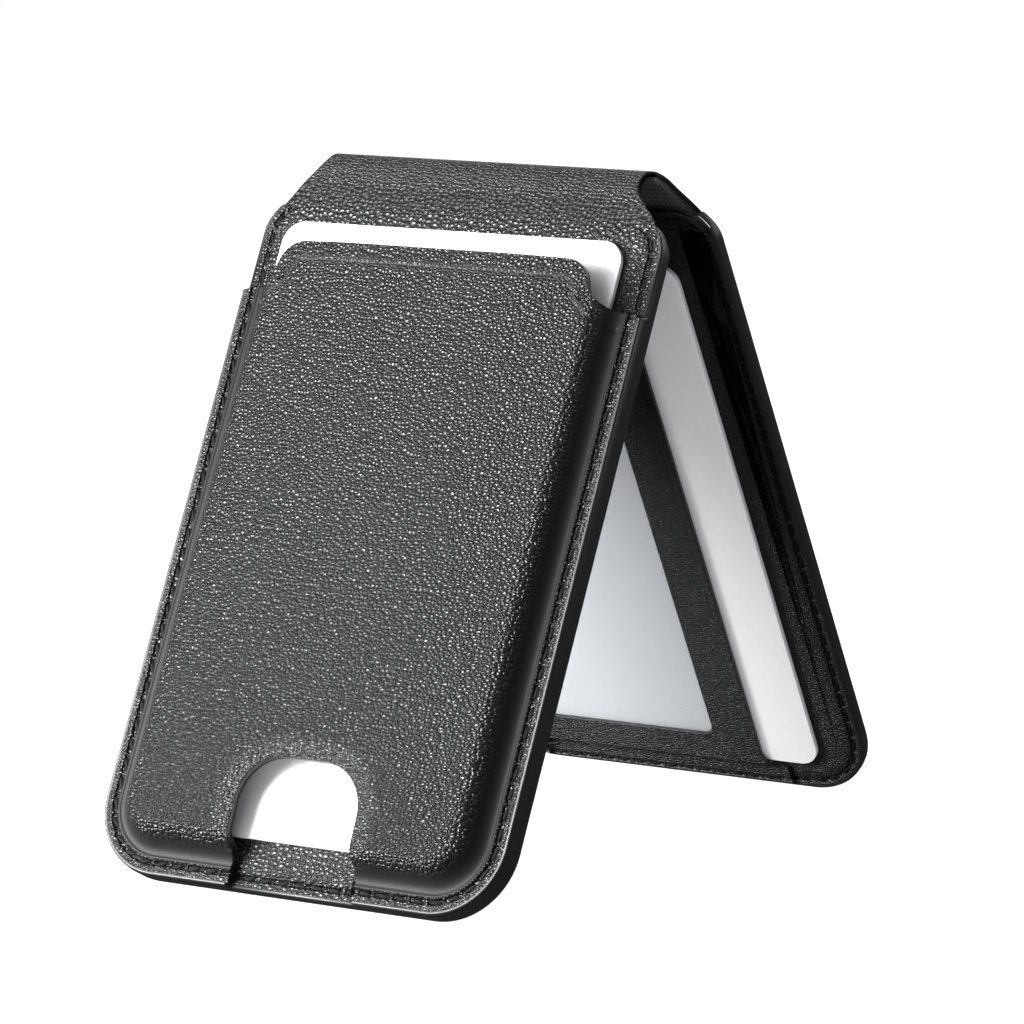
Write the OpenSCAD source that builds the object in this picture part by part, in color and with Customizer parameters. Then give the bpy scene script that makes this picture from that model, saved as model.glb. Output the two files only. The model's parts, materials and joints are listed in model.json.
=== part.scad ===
// Folding phone wallet: two leather panels joined by a soft spine, standing open as an A-frame.
// The front panel carries a moulded card pocket, the rear panel a windowed card pocket and,
// between its leather and its lining, the magnets that hold it to a phone.
// Origin: on the table, below the middle of the whole object. +X runs along the fold,
// -Y is the card pocket's side, +Z is up.

/* [Stand] */
// Lean of the front panel from upright
front_lean = 26.7; // [22:0.1:30]
// Bottom edge to fold line along the front panel's inner face
front_reach = 104.7; // [104.2:0.1:105.2]
// Bottom edge to fold line along the rear panel's inner face
rear_reach = 106.5; // [106:0.1:107]
// Gap between the two inner faces when the wallet is shut
shut_gap = 2.4; // [2.3:0.1:2.8]

/* [Panels] */
// Width of both panels
panel_w = 63.2; // [62.8:0.1:66]
// Radius of the bottom corners
corner_r = 10; // [9.5:0.5:11]
// Radius of the top corners, beside the spine
shoulder_r = 6; // [5:0.5:7]
// Height at which the front panel ends and the soft spine begins
front_h = 95; // [94.8:0.1:95.4]
// Height at which the rear panel ends and the soft spine begins
rear_h = 98; // [97.8:0.1:98.4]
// Width of the spine at the crease
spine_w = 51; // [46:1:54]

/* [Layers] */
// Leather of the front panel and of the spine
leather_t = 0.8; // [0.7:0.05:0.9]
// Lining of the front panel
lining_t = 0.6; // [0.6:0.05:0.7]
// Stiffening boards, which hold the magnets and plates
board_t = 0.8; // [0.8:0.05:0.9]
// Leather of the rear panel, on the phone's side
rear_leather_t = 0.6; // [0.5:0.05:0.6]
// Lining of the rear panel, with the shield behind it
rear_lining_t = 0.5; // [0.45:0.05:0.55]

/* [Card pocket] */
// Height of the mouth's middle
mouth_h = 88.2; // [88:0.1:90]
// Height of the flange beside the mouth
flange_h = 82.5; // [81:0.5:83]
// Half the width of the mouth's straight middle
mouth_half = 20.8; // [20:0.5:23]
// How far the pocket stands out from its flange
pocket_rise = 3.5; // [3.3:0.1:4]
// Thickness of the moulded leather
pocket_t = 0.9; // [0.8:0.05:0.9]
// Top of the thumb cut-out
thumb_h = 17.2; // [14:0.2:20]
// Left side of the thumb cut-out
thumb_left = -9; // [-11:0.2:-8]
// Right side of the thumb cut-out
thumb_right = 10.2; // [9:0.2:12]

/* [Window pocket] */
// Free edge of the window frame, where the card slides in
frame_edge = 15.4; // [12:0.2:17]
// Right side of the window
window_right = 8.4; // [5:0.2:9]
// Bottom of the window
window_bottom = 9.1; // [8:0.1:12]
// Thickness of the frame's leather
frame_t = 0.6; // [0.5:0.05:0.6]

/* [Cards] */
// Width of a card
card_w = 53.98; // [53.9:0.01:54]
// Length of a card
card_l = 85.6; // [85.4:0.1:85.7]
// Thickness of a card
card_t = 0.76; // [0.7:0.01:0.78]

/* [Stitching] */
// Distance from one stitch to the next
stitch_pitch = 2.7; // [2.4:0.1:3.2]
// Thread seen on the surface in one stitch
stitch_l = 1.9; // [1.6:0.1:2.1]
// Seam to the front panel's edge
front_seam = 1.6; // [1.4:0.1:1.8]
// Seam to the rear panel's edge
rear_seam = 1.3; // [1.3:0.1:1.5]

/* [Magnets] */
// Height of the magnet ring's centre on the rear panel
ring_h = 56; // [52:1:60]
// Outer radius of the magnet ring
ring_r = 27.3; // [26.5:0.1:27.5]
// Inner radius of the magnet ring
ring_bore_r = 23; // [22:0.1:24]
// Magnets in the ring
ring_count = 16; // [12:1:18]

/* [Hidden] */
$fn = 48;

half_w = panel_w / 2;
front_t = lining_t + board_t + leather_t;
foil_t = 0.1;
rear_t = rear_lining_t + foil_t + board_t + rear_leather_t;

// The rear panel's lean follows from the front's, because both meet at the fold line.
rear_lean = acos(front_reach * cos(front_lean) / rear_reach);
opening = front_lean + rear_lean;
foot_gap = front_reach * sin(front_lean) + rear_reach * sin(rear_lean);

// Pocket profiles from the flange to the face: [distance in from the panel's edge, height
// over the inner face]. Each starts a hair low, so that no two faces lie in one plane.
pocket_lining_t = 0.3;
eps = 0.01;
flange_top = front_t + pocket_lining_t + pocket_t;
crest = flange_top + pocket_rise;
wall_foot = 2.6;
wall_top = 6.2;
crest_round = 0.9;
ceiling = crest - pocket_t;
ceiling_round = 0.4;
foot_round = 0.6;
outer_form = [[wall_foot, flange_top], [wall_foot + 2.1, crest - crest_round], [wall_top, crest]];
inner_form = [
    [wall_foot + 0.7, front_t + pocket_lining_t - eps],
    [wall_foot + 0.85, front_t + pocket_lining_t + foot_round],
    [wall_top - 0.7, ceiling - ceiling_round],
    [wall_top + 0.4, ceiling]
];
lining_form = concat([[inner_form[0][0], front_t]], inner_form);
room_form = concat(
    [[inner_form[0][0] + pocket_lining_t, front_t - eps]],
    [[inner_form[1][0] + pocket_lining_t, front_t + pocket_lining_t + foot_round]],
    [[inner_form[2][0] + 0.35, ceiling - pocket_lining_t - ceiling_round]],
    [[inner_form[3][0] + pocket_lining_t, ceiling - pocket_lining_t]]
);
form_past_mouth = 6;
mouth_end_inset = 4.2;
thumb_r = 6.5;

// Where the folded shape lies along Y
front_most = wall_top * sin(front_lean) - crest * cos(front_lean);
rear_most = foot_gap + rear_t * cos(rear_lean);
mid_y = (front_most + rear_most) / 2;

// The fold's axis is as far from both inner faces as half of the shut gap.
axis_drop = shut_gap / 2 / sin(opening / 2);
axis_lean = (rear_lean - front_lean) / 2;
axis_y = front_reach * sin(front_lean) + axis_drop * sin(axis_lean) - mid_y;
axis_z = front_reach * cos(front_lean) - axis_drop * cos(axis_lean);
crease_r = 1.5;
backing_t = 0.3;
waist_r = 3.6;
waist_turn = 41;
waist_lap = 1.5;

// Card places: [left side, bottom edge]
pocket_card_at = [-27.69, 6.74];
id_card_at = [-29.65, 4.91];
card_corner_r = 3.18;
pocket_card_gap = 0.1;
id_card_gap = 0.08;

// Window pocket
frame_inset = 0.8;
frame_top = 93.6;
film_t = 0.2;
film_lap = 2.5;
film_gap = 0.06;
frame_lift = id_card_gap + card_t + film_gap + film_t;
card_side_gap = 0.3;
channel_left = id_card_at[0] - card_side_gap;
channel_bottom = id_card_at[1] - card_side_gap;
channel_top = id_card_at[1] + card_l + card_side_gap;
channel_wall = 1;
window_left = -22.6;
window_top = 86.3;
window_r = 1.8;
flare_r = 3.1;

// Seams
groove_w = 0.8;
groove_d = 0.3;
thread_w = 0.5;
thread_t = 0.28;
seam_bend = 45;
shoulder_drop = 4.3;
lining_over = 1;
front_shoulder_y = front_h - shoulder_drop;
rear_shoulder_y = rear_h - shoulder_drop;
front_lining_top = front_h + lining_over;
rear_lining_top = rear_h + lining_over;
stitch_clear = stitch_l / 2 + 0.1;

// Magnets and plates
ring_slot = 0.2;
magnet_fill = 0.88;
shunt_t = 0.2;
disc_r = 5;
disc_t = 0.7;
disc_at = [18, 14];
aligner = [5.6, 12];
aligner_h = 21;

function arc(centre, r, from, to, steps = 8) = [
    for (i = [0 : steps])
        let (a = from + (to - from) * i / steps)
        [centre[0] + r * cos(a), centre[1] + r * sin(a)]
];
function flip(points) = [
    for (i = [len(points) - 1 : -1 : 0]) [-points[i][0], points[i][1]]
];

// A point of a panel's own section, [height, distance from the inner face], as [y, z].
function on_front(h, out) = [
    h * sin(front_lean) - out * cos(front_lean) - mid_y,
    h * cos(front_lean) + out * sin(front_lean)
];
function on_rear(h, out) = [
    foot_gap - h * sin(rear_lean) + out * cos(rear_lean) - mid_y,
    h * cos(rear_lean) + out * sin(rear_lean)
];

// Panels are drawn flat: X across, Y up the panel, Z from the inner face. Outward is +Z
// on the front panel and -Z on the rear one.
module stand_front() {
    translate([0, -mid_y, 0]) rotate([90 - front_lean, 0, 0]) children();
}
module stand_rear() {
    translate([0, foot_gap - mid_y, 0]) rotate([90 + rear_lean, 0, 0]) children();
}

// Outline of a panel with its top corners' centres at shoulder_y, drawn in by inset
module outline(shoulder_y, inset = 0) {
    low_x = half_w - corner_r;
    high_x = half_w - shoulder_r;
    for (side = [-1, 1]) {
        translate([side * low_x, corner_r]) circle(r = corner_r - inset);
        translate([side * high_x, shoulder_y]) circle(r = shoulder_r - inset);
    }
    translate([-low_x, inset]) square([2 * low_x, corner_r]);
    translate([inset - half_w, corner_r]) square([2 * (half_w - inset), shoulder_y - corner_r]);
    translate([-high_x, corner_r]) square([2 * high_x, shoulder_y - corner_r + shoulder_r - inset]);
}

module below(h) {
    intersection() {
        children();
        translate([-panel_w, -1]) square([2 * panel_w, h + 1]);
    }
}

module layer(from, thick) {
    translate([0, 0, from]) linear_extrude(thick) children();
}

// Seam channel round the sides and the bottom, open at the top
module groove(shoulder_y, seam, from) {
    reach = shoulder_y + shoulder_r * sin(seam_bend);
    layer(from, groove_d + eps) below(reach) difference() {
        outline(shoulder_y, seam - groove_w / 2);
        outline(shoulder_y, seam + groove_w / 2);
    }
}

// A stitch's place on the right half of a seam, s along it from the bottom's middle:
// [x, y, direction]
function stitch_at(s, shoulder_y, seam) =
    let (flat = half_w - corner_r)
    let (bend = (corner_r - seam) * PI / 2)
    let (side = shoulder_y - corner_r)
    s < flat ? [s, seam, 0]
    : s < flat + bend
        ? let (a = (s - flat) / (corner_r - seam) * 180 / PI)
          [flat + (corner_r - seam) * sin(a), corner_r - (corner_r - seam) * cos(a), a]
    : s < flat + bend + side ? [half_w - seam, corner_r + s - flat - bend, 90]
    : let (a = (s - flat - bend - side) / (shoulder_r - seam) * 180 / PI)
      [half_w - shoulder_r + (shoulder_r - seam) * cos(a),
       shoulder_y + (shoulder_r - seam) * sin(a), 90 + a];

function stitches(shoulder_y, seam) =
    let (flat = half_w - corner_r)
    let (bend = (corner_r - seam) * PI / 2)
    let (top_bend = (shoulder_r - seam) * PI * seam_bend / 180)
    let (reach = flat + bend + shoulder_y - corner_r + top_bend)
    let (count = floor(reach / stitch_pitch))
    [
        for (side = [-1, 1], i = [0 : count - 1])
            let (p = stitch_at((i + 0.5) * stitch_pitch, shoulder_y, seam))
            [side * p[0], p[1], side * p[2]]
    ];

module thread(place, from) {
    translate([place[0], place[1], from + thread_t / 2])
        rotate([0, 0, place[2]])
        cube([stitch_l, thread_w, thread_t], center = true);
}

// Moulded form: side walls, bottom wall and two round corners of one profile
module form(profile) {
    low_x = half_w - corner_r;
    last = len(profile) - 1;
    right = [for (p = profile) [half_w - p[0], p[1]]];
    translate([0, mouth_h + form_past_mouth, 0])
        rotate([90, 0, 0])
        linear_extrude(mouth_h + form_past_mouth - corner_r)
        polygon(concat(right, flip(right)));
    translate([-low_x, 0, 0])
        rotate([90, 0, 90])
        linear_extrude(2 * low_x)
        polygon(concat(profile, [[corner_r + eps, profile[last][1]], [corner_r + eps, profile[0][1]]]));
    for (side = [-1, 1])
        translate([side * low_x, corner_r, 0])
        rotate_extrude()
        polygon(concat(
            [[0, profile[0][1]]],
            [for (p = profile) [corner_r - p[0], p[1]]],
            [[0, profile[last][1]]]
        ));
}

// The pocket's outline: a straight mouth that swings down to the flange on both sides
module mouth_outline() {
    side_x = half_w - mouth_end_inset;
    run = side_x - mouth_half;
    drop = mouth_h - flange_h;
    turn = 2 * atan(drop / run);
    swing_r = run / (2 * sin(turn));
    right = concat(
        [[half_w + 1, -1], [half_w + 1, flange_h]],
        arc([side_x, flange_h + swing_r], swing_r, 270, 270 - turn),
        arc([mouth_half, mouth_h - swing_r], swing_r, 90 - turn, 90)
    );
    polygon(concat(right, flip(right)));
}

module thumb_outline() {
    polygon(concat(
        [[thumb_right, -1]],
        arc([thumb_right - thumb_r, thumb_h - thumb_r], thumb_r, 0, 90),
        arc([thumb_left + thumb_r, thumb_h - thumb_r], thumb_r, 90, 180),
        [[thumb_left, -1]]
    ));
}

module trim_to_mouth() {
    difference() {
        children();
        layer(0, 2 * crest) difference() {
            translate([-panel_w, -2]) square([2 * panel_w, 2 * mouth_h]);
            mouth_outline();
        }
        layer(0, 2 * crest) thumb_outline();
    }
}

module card_outline() {
    for (x = [card_corner_r, card_w - card_corner_r], y = [card_corner_r, card_l - card_corner_r])
        translate([x, y]) circle(r = card_corner_r);
    translate([card_corner_r, 0]) square([card_w - 2 * card_corner_r, card_l]);
    translate([0, card_corner_r]) square([card_w, card_l - 2 * card_corner_r]);
}

// ---- Front panel ----

// Leather face that the pocket is sewn to; its seam channel shows in the thumb cut-out
// and beside the mouth
module front_leather() {
    color("#26272b") stand_front() difference() {
        layer(lining_t + board_t, leather_t) below(front_h) outline(front_shoulder_y);
        intersection() {
            groove(front_shoulder_y, front_seam, front_t - groove_d);
            union() {
                layer(0, 2 * front_t) thumb_outline();
                layer(0, 2 * front_t) translate([-panel_w, flange_h]) square([2 * panel_w, front_h]);
            }
        }
    }
}

// Board that keeps the panel flat, with two pockets for the closure magnets
module front_board() {
    color("#6f6a60") stand_front() difference() {
        layer(lining_t, board_t) below(front_h) outline(front_shoulder_y);
        for (side = [-1, 1])
            translate([side * disc_at[0], disc_at[1], lining_t - eps])
            cylinder(r = disc_r + ring_slot, h = board_t + 2 * eps);
    }
}

module front_lining() {
    color("#1d1e21") stand_front() difference() {
        layer(0, lining_t) outline(front_lining_top - shoulder_r);
        groove(front_lining_top - shoulder_r, front_seam, -eps);
    }
}

// Two disc magnets that hold the wallet shut
module closure_magnets() {
    color("#b9bcc2") stand_front()
        for (side = [-1, 1])
            translate([side * disc_at[0], disc_at[1], lining_t])
            cylinder(r = disc_r, h = disc_t);
}

// Moulded leather pocket: a flange all round, a raised face, an open mouth, a thumb cut-out
module pocket_leather() {
    color("#2b2c30") stand_front() difference() {
        trim_to_mouth() difference() {
            union() {
                layer(front_t + pocket_lining_t, pocket_t) outline(front_shoulder_y);
                form(outer_form);
            }
            form(inner_form);
        }
        groove(front_shoulder_y, front_seam, flange_top - groove_d);
    }
}

// Thin cloth bonded to the inside of the moulded leather
module pocket_lining() {
    color("#3a3b40") stand_front() trim_to_mouth() difference() {
        union() {
            layer(front_t, pocket_lining_t) outline(front_shoulder_y);
            form(lining_form);
        }
        form(room_form);
    }
}

// Thread on the pocket's flange, on the leather beside it, and on the lining
module front_stitching() {
    bared = front_t - groove_d;
    sewn = flange_top - groove_d;
    color("#0f0f11") stand_front() {
        for (p = stitches(front_shoulder_y, front_seam)) {
            in_thumb = p[1] < corner_r && p[0] > thumb_left && p[0] < thumb_right;
            at_thumb = p[1] < corner_r
                && (abs(p[0] - thumb_left) < stitch_clear || abs(p[0] - thumb_right) < stitch_clear);
            at_mouth = abs(p[1] - flange_h) < stitch_clear;
            over = p[1] > flange_h;
            if (!at_thumb && !at_mouth) thread(p, in_thumb || over ? bared : sewn);
        }
        for (p = stitches(front_lining_top - shoulder_r, front_seam))
            thread(p, groove_d - thread_t);
    }
}

module pocket_card() {
    color("#f2f3f5") stand_front()
        translate([pocket_card_at[0], pocket_card_at[1], 0])
        layer(front_t + pocket_card_gap, card_t) card_outline();
}

// ---- Rear panel ----

// Leather that meets the phone
module rear_leather() {
    color("#232428") stand_rear() difference() {
        layer(-rear_t, rear_leather_t) below(rear_h) outline(rear_shoulder_y);
        groove(rear_shoulder_y, rear_seam, -rear_t - eps);
    }
}

// Board with a ring slot and pockets for the magnets and the closure plates
module magnet_carrier() {
    from = -rear_t + rear_leather_t;
    deep = board_t + 2 * eps;
    color("#6f6a60") stand_rear() difference() {
        layer(from, board_t) below(rear_h) outline(rear_shoulder_y);
        translate([0, ring_h, from - eps]) difference() {
            cylinder(r = ring_r + ring_slot, h = deep);
            translate([0, 0, -eps]) cylinder(r = ring_bore_r - ring_slot, h = deep + 2 * eps);
        }
        for (side = [-1, 1])
            translate([side * disc_at[0], disc_at[1], from - eps])
            cylinder(r = disc_r + ring_slot, h = deep);
        translate([-aligner[0] / 2 - ring_slot, aligner_h - aligner[1] / 2 - ring_slot, from - eps])
            cube([aligner[0] + 2 * ring_slot, aligner[1] + 2 * ring_slot, deep]);
    }
}

// Ring of arc magnets, pulled to the phone's own ring
module magnet_ring() {
    share = 360 / ring_count;
    reach = 2 * ring_r;
    wide = share * magnet_fill / 2;
    color("#c3c6cc") stand_rear()
        translate([0, ring_h, 0])
        layer(-rear_t + rear_leather_t, board_t - shunt_t)
        for (i = [0 : ring_count - 1])
            rotate(i * share) intersection() {
                difference() {
                    circle(r = ring_r);
                    circle(r = ring_bore_r);
                }
                polygon([[0, 0], [reach, -reach * tan(wide)], [reach, reach * tan(wide)]]);
            }
}

// Steel ring behind the magnets, which turns their field to the phone
module magnet_shunt() {
    color("#9a9da3") stand_rear()
        translate([0, ring_h, -rear_lining_t - foil_t - shunt_t]) difference() {
            cylinder(r = ring_r, h = shunt_t);
            translate([0, 0, -eps]) cylinder(r = ring_bore_r, h = shunt_t + 2 * eps);
        }
}

// Bar magnet under the ring, which keeps the wallet upright on the phone
module alignment_magnet() {
    color("#c3c6cc") stand_rear()
        translate([-aligner[0] / 2, aligner_h - aligner[1] / 2, -rear_t + rear_leather_t])
        cube([aligner[0], aligner[1], board_t]);
}

// Steel discs that the closure magnets pull to
module closure_plates() {
    color("#9a9da3") stand_rear()
        for (side = [-1, 1])
            translate([side * disc_at[0], disc_at[1], -rear_lining_t - foil_t - disc_t])
            cylinder(r = disc_r, h = disc_t);
}

// Foil between the magnets and the card
module shield_foil() {
    color("#d8dadd") stand_rear()
        layer(-rear_lining_t - foil_t, foil_t) below(rear_h) outline(rear_shoulder_y);
}

module rear_lining() {
    color("#1d1e21") stand_rear() difference() {
        layer(-rear_lining_t, rear_lining_t) outline(rear_lining_top - shoulder_r);
        groove(rear_lining_top - shoulder_r, rear_seam, -groove_d);
    }
}

// Leather frame over the card: sewn down on three sides, open on the right, which flares
// to the seam at its foot
module window_frame() {
    lift = frame_lift + frame_t;
    color("#202124") stand_rear() difference() {
        layer(0, lift) frame_outline();
        layer(-eps, frame_lift + eps)
            translate([channel_left, channel_bottom])
            square([panel_w, channel_top - channel_bottom]);
        layer(-eps, 2 * lift) window_outline(0);
        layer(frame_t, lift) translate([-panel_w, -1])
            square([2 * panel_w, channel_bottom - channel_wall + 1]);
        layer(frame_t, lift) translate([-panel_w, channel_top + channel_wall])
            square([2 * panel_w, corner_r]);
        groove(rear_shoulder_y, rear_seam, frame_t - groove_d);
        groove(rear_shoulder_y, rear_seam, lift - groove_d);
    }
}

module frame_outline() {
    foot = channel_bottom - channel_wall;
    intersection() {
        outline(rear_shoulder_y, frame_inset);
        difference() {
            translate([-panel_w, 0]) square([panel_w + frame_edge + flare_r, frame_top]);
            translate([frame_edge, foot + flare_r]) square([2 * flare_r, frame_top]);
            translate([frame_edge + flare_r, foot + flare_r]) circle(r = flare_r);
        }
    }
}

module window_outline(lap) {
    x0 = window_left - lap;
    y0 = window_bottom - lap;
    w = window_right - window_left + 2 * lap;
    h = window_top - window_bottom + 2 * lap;
    for (x = [x0 + window_r, x0 + w - window_r], y = [y0 + window_r, y0 + h - window_r])
        translate([x, y]) circle(r = window_r);
    translate([x0 + window_r, y0]) square([w - 2 * window_r, h]);
    translate([x0, y0 + window_r]) square([w, h - 2 * window_r]);
}

// Clear film glued behind the frame
module window_film() {
    color("#dfe6ea", 0.35) stand_rear()
        layer(frame_lift - film_t, film_t) window_outline(film_lap);
}

// Thread on the lining and the frame, and on the phone's side
module rear_stitching() {
    lift = frame_lift + frame_t;
    color("#0f0f11") stand_rear() {
        for (p = stitches(rear_lining_top - shoulder_r, rear_seam)) {
            flare_x = frame_edge + flare_r;
            at_flare = p[1] < corner_r && abs(p[0] - flare_x) < stitch_clear;
            at_foot = p[0] < 0 && abs(p[1] - channel_bottom + channel_wall) < 1.4 * stitch_clear;
            at_head = p[0] < 0 && abs(p[1] - frame_top) < stitch_l + channel_wall;
            on_rim = p[0] < 0 && p[1] > channel_bottom && p[1] < frame_top;
            on_foot = p[1] < channel_bottom && p[0] < flare_x;
            if (!at_flare && !at_foot && !at_head)
                thread(p, (on_rim ? lift : on_foot ? frame_t : 0) - groove_d);
        }
        for (p = stitches(rear_shoulder_y, rear_seam)) thread(p, -rear_t + groove_d - thread_t);
    }
}

module id_card() {
    color("#f2f3f5") stand_rear()
        translate([id_card_at[0], id_card_at[1], 0])
        layer(id_card_gap, card_t) card_outline();
}

// ---- Spine ----

// Angle on a circle round the fold's axis at which a line from the point touches it
function tangent(point, r, side) =
    let (d = [point[0] - axis_y, point[1] - axis_z])
    atan2(d[1], d[0]) + side * acos(r / norm(d));
// Section of the spine at a depth below its outer face, from front to rear, as [y, z]
function spine_line(depth) =
    let (a = on_front(front_h, front_t - depth))
    let (b = on_rear(rear_h, rear_t - depth))
    let (r = crease_r - depth)
    concat([a], arc([axis_y, axis_z], r, tangent(a, r, -1) + 360, tangent(b, r, 1)), [b]);
function turned_back(points) = [for (i = [len(points) - 1 : -1 : 0]) points[i]];

// Seen from above, the spine is waisted: full shoulders, narrow at the crease
module waist_outline() {
    front_y = on_front(front_h, front_t)[0] - waist_lap;
    rear_y = on_rear(rear_h, rear_t)[0] + waist_lap;
    shoulder_x = half_w - shoulder_r + sqrt(pow(shoulder_r, 2) - pow(shoulder_drop, 2));
    right = concat(
        [[shoulder_x + waist_lap, front_y]],
        arc([spine_w / 2 + waist_r, axis_y], waist_r, 180 + waist_turn, 180 - waist_turn),
        [[shoulder_x + waist_lap, rear_y]]
    );
    polygon(concat(right, flip(right)));
}

module spine_layer(from, to) {
    intersection() {
        rotate([90, 0, 90])
            translate([0, 0, -half_w])
            linear_extrude(panel_w)
            polygon(concat(spine_line(from), turned_back(spine_line(to))));
        linear_extrude(2 * axis_z) waist_outline();
    }
}

// Soft leather over the fold
module spine_leather() {
    color("#2b2c30") spine_layer(0, leather_t);
}

// Cloth that backs the fold
module spine_backing() {
    color("#1d1e21") spine_layer(leather_t, leather_t + backing_t);
}

front_leather();
front_board();
front_lining();
closure_magnets();
pocket_leather();
pocket_lining();
front_stitching();
pocket_card();
rear_leather();
magnet_carrier();
magnet_ring();
magnet_shunt();
alignment_magnet();
closure_plates();
shield_foil();
rear_lining();
window_frame();
window_film();
rear_stitching();
id_card();
spine_leather();
spine_backing();
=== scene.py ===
import json
from math import asin, atan, atan2, cos, pi, radians, sin, sqrt

import bmesh
import bpy
import numpy as np
from mathutils import Matrix, Vector


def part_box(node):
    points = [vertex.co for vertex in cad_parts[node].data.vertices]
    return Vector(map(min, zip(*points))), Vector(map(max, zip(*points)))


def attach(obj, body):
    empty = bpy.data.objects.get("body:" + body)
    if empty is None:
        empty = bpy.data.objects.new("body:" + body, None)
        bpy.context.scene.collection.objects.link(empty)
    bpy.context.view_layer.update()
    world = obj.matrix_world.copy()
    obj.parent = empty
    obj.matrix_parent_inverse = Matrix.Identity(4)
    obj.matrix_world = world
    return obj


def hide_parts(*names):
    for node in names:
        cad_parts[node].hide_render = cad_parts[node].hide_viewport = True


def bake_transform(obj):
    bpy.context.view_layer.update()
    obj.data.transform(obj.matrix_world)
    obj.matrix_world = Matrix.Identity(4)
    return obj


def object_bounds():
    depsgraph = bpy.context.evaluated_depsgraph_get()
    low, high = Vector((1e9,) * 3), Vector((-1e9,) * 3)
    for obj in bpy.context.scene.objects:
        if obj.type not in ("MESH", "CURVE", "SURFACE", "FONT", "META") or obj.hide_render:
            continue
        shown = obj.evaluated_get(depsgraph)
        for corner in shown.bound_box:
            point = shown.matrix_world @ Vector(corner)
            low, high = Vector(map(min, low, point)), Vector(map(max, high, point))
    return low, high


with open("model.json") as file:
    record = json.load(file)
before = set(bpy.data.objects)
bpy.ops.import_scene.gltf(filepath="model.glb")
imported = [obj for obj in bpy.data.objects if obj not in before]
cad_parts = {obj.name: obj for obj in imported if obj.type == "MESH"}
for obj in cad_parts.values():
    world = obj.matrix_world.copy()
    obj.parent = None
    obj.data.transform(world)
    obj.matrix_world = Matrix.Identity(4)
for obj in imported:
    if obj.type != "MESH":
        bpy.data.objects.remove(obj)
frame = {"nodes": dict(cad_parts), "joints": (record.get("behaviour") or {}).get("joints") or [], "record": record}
cad_low, cad_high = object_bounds()

# The panels are drawn flat in millimetres: X across, Y up the panel, Z out of the drawn side.
# They are then stood up in place, in metres.
MM = 0.001

# ---- Sizes, in millimetres, as in the design ----

HALF_W = (cad_high.x - cad_low.x) / 2 / MM
CORNER_R = 10
SHOULDER_R = 6
FRONT_H = 95
REAR_H = 98
SHOULDER_DROP = 4.3
LINING_OVER = 1
LOW_X = HALF_W - CORNER_R
HIGH_X = HALF_W - SHOULDER_R

LEATHER_T = 0.8
LINING_T = 0.6
REAR_LINING_T = 0.5
REAR_LEATHER_T = 0.6
FRONT_T = 2.2
REAR_T = 2.0
POCKET_T = 0.9
CLOTH_T = 0.3
FLANGE_TOP = FRONT_T + CLOTH_T + POCKET_T
FACE_TOP = FLANGE_TOP + 3.5

MOUTH_H = 88.2
MOUTH_HALF = 20.8
MOUTH_SIDE = HALF_W - 3.5
FLANGE_H = 82.5
TOP_FROM = 75  # above this height the pocket's rows are stretched up to its mouth
HEM_AT = 2.6  # the pressed line's distance from the mouth, then its width and depth
HEM_W = 0.36
HEM_D = 0.2
THUMB_H = 17.2
THUMB_LEFT = -9
THUMB_RIGHT = 10.2
THUMB_R = 6.5

FRAME_EDGE = 15.4
FRAME_INSET = 0.8
FRAME_TOP = 93.6
FRAME_T = 0.6
FRAME_LIFT = 1.1
FRAME_RIM = 0.62  # height of the frame's face at its seam
FLARE_R = 3.1
FLARE_X = FRAME_EDGE + FLARE_R
CHANNEL = (-29.95, 4.61, 90.81)  # the card's channel: left, bottom, top
FRAME_FOOT = CHANNEL[1] - 1
WINDOW = (-22.6, 9.1, 8.4, 86.3)  # left, bottom, right, top
WINDOW_R = 1.8

CARD_W = 53.98
CARD_L = 85.6
CARD_T = 0.76
CARD_R = 3.18
CARD_EDGE_R = 0.09
POCKET_CARD = (-27.69, 6.74, FRONT_T + 0.1)
ID_CARD = (-29.65, 4.91, 0.08)

PITCH = 2.7
STITCH_L = 2.05
THREAD_W = 0.56
THREAD_T = 0.36
STITCH_SLANT = radians(13)
STITCH_STEPS = 6
HOLE_LEAN = 0.22  # how far the needle holes lean along the seam for each millimetre across it
POCKET_SINK = 0.2  # how deep each thread's middle lies below the face it is sewn to
PLAIN_SINK = 0.17
INNER_SINK = 0.14
OFF_SEAM = 9.0  # an inset too far from the seam for needle holes
FRONT_SEAM = 1.6
REAR_SEAM = 1.3
GROOVE_D = 0.3
RIM_W = 3.0  # width of the rim that is swept round a flat sheet
SEAM_BEND = radians(45)

CREASE_R = 1.5
SPINE_T = 1.1
SPINE_FROM = 82

# ---- Places, from the frame ----

joints = {joint["name"]: joint for joint in frame["joints"]}
card_way = joints["pocket_card_slide"]["axis"]
phone_face = frame["record"]["mounts"][0]["axis"]
HINGE = Vector(joints["fold_hinge"]["pos_m"])
FRONT_LEAN = atan2(card_way[1], card_way[2])
REAR_LEAN = atan2(phone_face[2], phone_face[1])
front_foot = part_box("front_lining")[0].y + LINING_T * MM * cos(FRONT_LEAN)
rear_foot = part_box("rear_lining")[1].y - REAR_LINING_T * MM * cos(REAR_LEAN)


def stand(foot, turn):
    return Matrix.Translation((0, foot, 0)) @ Matrix.Rotation(turn, 4, "X") @ Matrix.Scale(MM, 4)


TURNED = Matrix.Rotation(pi, 4, "Y")
FRONT_OUT = stand(front_foot, pi / 2 - FRONT_LEAN)
FRONT_IN = FRONT_OUT @ TURNED
REAR_IN = stand(rear_foot, pi / 2 + REAR_LEAN)
REAR_OUT = REAR_IN @ TURNED


# ---- Curves and distances on a flat panel ----

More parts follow.
